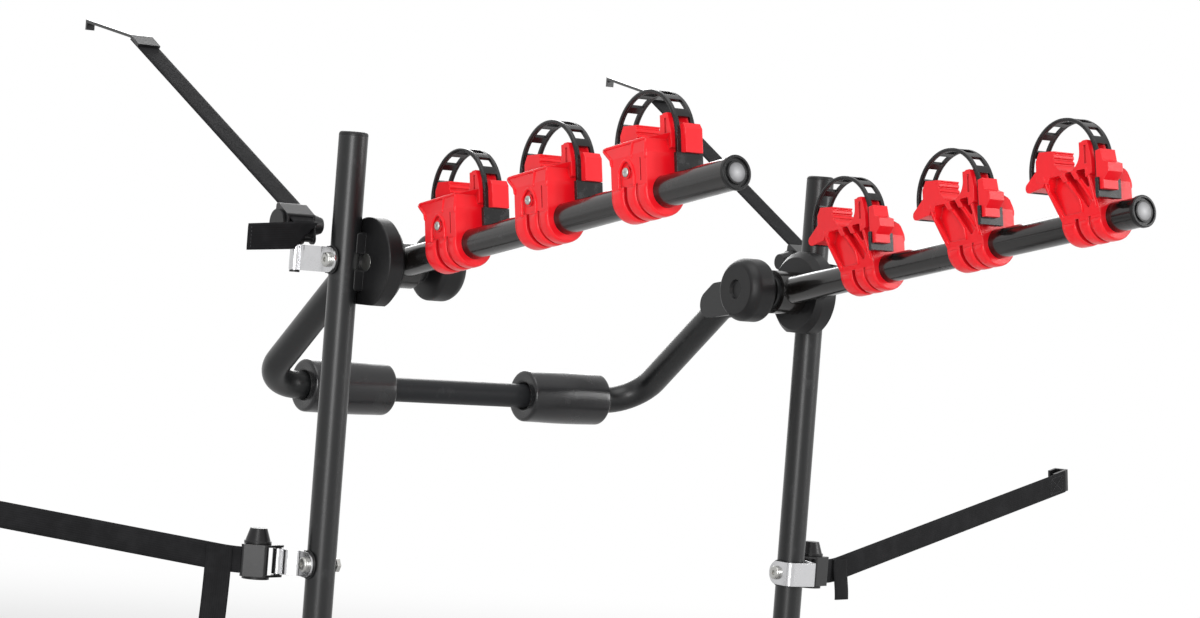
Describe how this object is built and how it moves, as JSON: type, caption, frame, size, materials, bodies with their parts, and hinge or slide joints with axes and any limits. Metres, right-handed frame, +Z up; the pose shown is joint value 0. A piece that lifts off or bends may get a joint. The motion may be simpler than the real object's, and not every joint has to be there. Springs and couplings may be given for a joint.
{
  "type": "rear bike rack",
  "caption": "Strap-on rear bike rack: tubular frame with folding padded support, two folding arms with forked cradles under ladder straps, clamp knobs and cam buckle straps.",
  "frame": {"origin": "on the axis of the lower padded crossbar, half way between the uprights", "axes": "+X to the right, +Y forward to the car, +Z up"},
  "size_m": [1.4319, 1.0044, 0.7536],
  "materials": {
    "frame_paint": "satin dark grey",
    "bar_paint": "dark grey",
    "arm_paint": "glossy black",
    "black_plastic": "fine matt",
    "foam": "closed-cell foam",
    "chrome": "polished",
    "steel": "zinc",
    "lining_rubber": "matt",
    "black_steel": "black",
    "lever_plastic": "satin",
    "webbing": "woven",
    "red_plastic": "glossy red",
    "ladder_rubber": "shiny black"
  },
  "bodies": {
    "main_frame": {"left_upright": "frame_paint", "right_upright": "frame_paint", "upright_caps": "black_plastic", "lower_elbows": "frame_paint", "lower_crossbar": "frame_paint", "lower_pads": "foam", "left_hub_housing": "black_plastic", "right_hub_housing": "black_plastic", "pivot_bolts": "steel", "hub_washers": "steel", "upper_brackets": "chrome", "side_brackets": "chrome", "upper_links": "black_steel", "bracket_linings": "lining_rubber", "bracket_bolts": "steel", "upper_buckles": "black_steel", "side_buckles": "black_steel", "left_upper_strap": "webbing", "right_upper_strap": "webbing", "left_side_strap": "webbing", "right_side_strap": "webbing", "upper_hooks": "black_steel", "side_hooks": "black_steel"},
    "support_frame": {"left_support_leg": "frame_paint", "right_support_leg": "frame_paint", "leg_lugs": "frame_paint", "support_bar": "bar_paint", "left_window_pad": "foam", "right_window_pad": "foam"},
    "left_arm": {"left_arm": "arm_paint", "left_arm_cap": "black_plastic", "left_cradle_screws": "steel", "left_cradle_1": "red_plastic", "left_cradle_2": "red_plastic", "left_cradle_3": "red_plastic"},
    "left_knob": {"left_knob": "black_plastic"},
    "left_ladder_1": {"left_ladder_1": "ladder_rubber", "left_catch_1": "red_plastic"},
    "left_ladder_2": {"left_ladder_2": "ladder_rubber", "left_catch_2": "red_plastic"},
    "left_ladder_3": {"left_ladder_3": "ladder_rubber", "left_catch_3": "red_plastic"},
    "left_upper_lever": {"left_upper_lever": "lever_plastic"},
    "left_side_lever": {"left_side_lever": "lever_plastic"},
    "right_arm": {"right_arm": "arm_paint", "right_arm_cap": "black_plastic", "right_cradle_screws": "steel", "right_cradle_1": "red_plastic", "right_cradle_2": "red_plastic", "right_cradle_3": "red_plastic"},
    "right_knob": {"right_knob": "black_plastic"},
    "right_ladder_1": {"right_ladder_1": "ladder_rubber", "right_catch_1": "red_plastic"},
    "right_ladder_2": {"right_ladder_2": "ladder_rubber", "right_catch_2": "red_plastic"},
    "right_ladder_3": {"right_ladder_3": "ladder_rubber", "right_catch_3": "red_plastic"},
    "right_upper_lever": {"right_upper_lever": "lever_plastic"},
    "right_side_lever": {"right_side_lever": "lever_plastic"}
  },
  "joints": [
    {"name": "support_frame_fold", "type": "hinge", "parent": "main_frame", "child": "support_frame", "pos_m": [0, -0.016, 0.5], "axis": [1, 0, 0], "range_deg": [-50, 20]},
    {"name": "left_arm_fold", "type": "hinge", "parent": "main_frame", "child": "left_arm", "pos_m": [-0.231, -0.016, 0.5], "axis": [1, 0, 0], "range_deg": [-10, 75]},
    {"name": "left_knob_turn", "type": "hinge", "parent": "main_frame", "child": "left_knob", "pos_m": [-0.19, -0.016, 0.5], "axis": [1, 0, 0], "continuous": true},
    {"name": "left_ladder_1_swing", "type": "hinge", "parent": "left_arm", "child": "left_ladder_1", "pos_m": [-0.213, -0.05685, 0.54665], "axis": [-1, 0, 0], "range_deg": [0, 90]},
    {"name": "left_ladder_2_swing", "type": "hinge", "parent": "left_arm", "child": "left_ladder_2", "pos_m": [-0.213, -0.2036, 0.57518], "axis": [-1, 0, 0], "range_deg": [0, 90]},
    {"name": "left_ladder_3_swing", "type": "hinge", "parent": "left_arm", "child": "left_ladder_3", "pos_m": [-0.213, -0.35036, 0.6037], "axis": [-1, 0, 0], "range_deg": [0, 90]},
    {"name": "right_arm_fold", "type": "hinge", "parent": "main_frame", "child": "right_arm", "pos_m": [0.231, -0.016, 0.5], "axis": [1, 0, 0], "range_deg": [-10, 75]},
    {"name": "right_knob_turn", "type": "hinge", "parent": "main_frame", "child": "right_knob", "pos_m": [0.19, -0.016, 0.5], "axis": [1, 0, 0], "continuous": true},
    {"name": "right_ladder_1_swing", "type": "hinge", "parent": "right_arm", "child": "right_ladder_1", "pos_m": [0.213, -0.09513, 0.55409], "axis": [-1, 0, 0], "range_deg": [0, 90]},
    {"name": "right_ladder_2_swing", "type": "hinge", "parent": "right_arm", "child": "right_ladder_2", "pos_m": [0.213, -0.25416, 0.585], "axis": [-1, 0, 0], "range_deg": [0, 90]},
    {"name": "right_ladder_3_swing", "type": "hinge", "parent": "right_arm", "child": "right_ladder_3", "pos_m": [0.213, -0.41318, 0.61591], "axis": [-1, 0, 0], "range_deg": [0, 90]},
    {"name": "left_upper_lever_turn", "type": "hinge", "parent": "main_frame", "child": "left_upper_lever", "pos_m": [-0.308, 0.05499, 0.53119], "axis": [1, 0, 0], "range_deg": [0, 35], "stiffness_Nm_per_rad": 0.1},
    {"name": "right_upper_lever_turn", "type": "hinge", "parent": "main_frame", "child": "right_upper_lever", "pos_m": [0.308, 0.05499, 0.53119], "axis": [1, 0, 0], "range_deg": [0, 35], "stiffness_Nm_per_rad": 0.1},
    {"name": "right_side_lever_turn", "type": "hinge", "parent": "main_frame", "child": "right_side_lever", "pos_m": [0.33109, 0.03122, 0.212], "axis": [0, 0, -1], "range_deg": [0, 35], "stiffness_Nm_per_rad": 0.1},
    {"name": "left_side_lever_turn", "type": "hinge", "parent": "main_frame", "child": "left_side_lever", "pos_m": [-0.32984, 0.03709, 0.212], "axis": [0, 0, 1], "range_deg": [0, 35], "stiffness_Nm_per_rad": 0.1}
  ]
}
